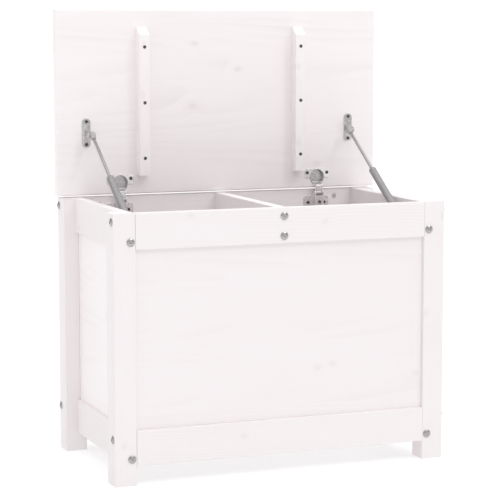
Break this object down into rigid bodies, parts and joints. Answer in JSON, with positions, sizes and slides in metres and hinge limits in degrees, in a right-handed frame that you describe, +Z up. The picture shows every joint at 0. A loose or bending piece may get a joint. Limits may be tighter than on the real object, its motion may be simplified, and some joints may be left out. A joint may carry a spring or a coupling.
{
  "type": "storage bench",
  "caption": "Framed wooden storage bench with a lift-up seat lid on concealed hinges, held by gas struts, and a cross rail over the box.",
  "frame": {"origin": "on the floor under the middle of the box", "axes": "+X to the bench's right seen from the front, +Y to the back, +Z up; the lid is drawn open and upright"},
  "size_m": [0.7, 0.3766, 0.8905],
  "materials": {
    "white_pine": "white painted pine, faint grain and knots showing through",
    "floor_pine": "white painted board",
    "dowel_beech": "bare beech",
    "bolt_steel": "zinc-plated steel",
    "nut_steel": "zinc-plated steel",
    "hinge_steel": "nickel-plated pressed steel",
    "screw_steel": "zinc-plated steel",
    "bracket_zinc": "zinc-plated pressed steel",
    "strut_grey": "silver-grey paint",
    "rod_chrome": "polished chromed rod",
    "strut_inner": "black seal and guide"
  },
  "bodies": {
    "box": {"back_bottom_rail": "white_pine", "back_cleat": "white_pine", "back_frame_bolts": "bolt_steel", "back_left_post": "white_pine", "back_panel": "white_pine", "back_right_post": "white_pine", "back_top_rail": "white_pine", "cross_nuts": "nut_steel", "cross_rail": "white_pine", "cross_rail_bolts": "bolt_steel", "dowels": "dowel_beech", "floor_board": "floor_pine", "front_bottom_rail": "white_pine", "front_cleat": "white_pine", "front_frame_bolts": "bolt_steel", "front_left_post": "white_pine", "front_panel": "white_pine", "front_right_post": "white_pine", "front_top_rail": "white_pine", "hinge_arm_pins": "screw_steel", "hinge_arm_screws": "screw_steel", "hinge_plate_screws": "screw_steel", "left_bottom_rail": "white_pine", "left_cleat": "white_pine", "left_hinge_arm": "hinge_steel", "left_hinge_plate": "hinge_steel", "left_panel": "white_pine", "left_side_bracket": "bracket_zinc", "left_top_rail": "white_pine", "right_bottom_rail": "white_pine", "right_cleat": "white_pine", "right_hinge_arm": "hinge_steel", "right_hinge_plate": "hinge_steel", "right_panel": "white_pine", "right_side_bracket": "bracket_zinc", "right_top_rail": "white_pine", "side_bracket_screws": "screw_steel", "side_frame_bolts": "bolt_steel"},
    "hinge_links": {"left_hinge_link": "hinge_steel", "right_hinge_link": "hinge_steel"},
    "lid": {"lid_board": "white_pine", "left_batten": "white_pine", "right_batten": "white_pine", "batten_screws": "screw_steel", "left_hinge_cup": "hinge_steel", "right_hinge_cup": "hinge_steel", "hinge_cup_pins": "screw_steel", "hinge_cup_screws": "screw_steel", "left_lid_bracket": "bracket_zinc", "right_lid_bracket": "bracket_zinc", "lid_bracket_screws": "screw_steel"},
    "left_tube": {"left_strut_tube": "strut_grey", "left_strut_guide": "strut_inner"},
    "left_rod": {"left_strut_rod": "rod_chrome", "left_strut_piston": "strut_inner"},
    "right_tube": {"right_strut_tube": "strut_grey", "right_strut_guide": "strut_inner"},
    "right_rod": {"right_strut_rod": "rod_chrome", "right_strut_piston": "strut_inner"}
  },
  "joints": [
    {"name": "link_swing", "type": "hinge", "parent": "box", "child": "hinge_links", "pos_m": [0, 0.14806, 0.50826], "axis": [1, 0, 0], "range_deg": [-31.31, 0]},
    {"name": "lid_fold", "type": "hinge", "parent": "hinge_links", "child": "lid", "pos_m": [0, 0.1626, 0.5285], "axis": [1, 0, 0], "range_deg": [0, 121.3]},
    {"name": "left_tube_swing", "type": "hinge", "parent": "box", "child": "left_tube", "pos_m": [-0.2817, -0.104, 0.482], "axis": [1, 0, 0], "range_deg": [-29.27, 0]},
    {"name": "left_rod_slide", "type": "slide", "parent": "left_tube", "child": "left_rod", "axis": [0, 0.8377, 0.5461], "range_m": [-0.12405, 0]},
    {"name": "right_tube_swing", "type": "hinge", "parent": "box", "child": "right_tube", "pos_m": [0.2817, -0.104, 0.482], "axis": [1, 0, 0], "range_deg": [-29.27, 0]},
    {"name": "right_rod_slide", "type": "slide", "parent": "right_tube", "child": "right_rod", "axis": [0, 0.8377, 0.5461], "range_m": [-0.12405, 0]}
  ],
  "couplings": [
    {"joint": "link_swing", "follows": "lid_fold", "ratio": -0.25803},
    {"joint": "left_tube_swing", "follows": "lid_fold", "ratio": -0.24125},
    {"joint": "left_rod_slide", "follows": "lid_fold", "m_per_rad": -0.058588},
    {"joint": "right_tube_swing", "follows": "lid_fold", "ratio": -0.24125},
    {"joint": "right_rod_slide", "follows": "lid_fold", "m_per_rad": -0.058588}
  ]
}
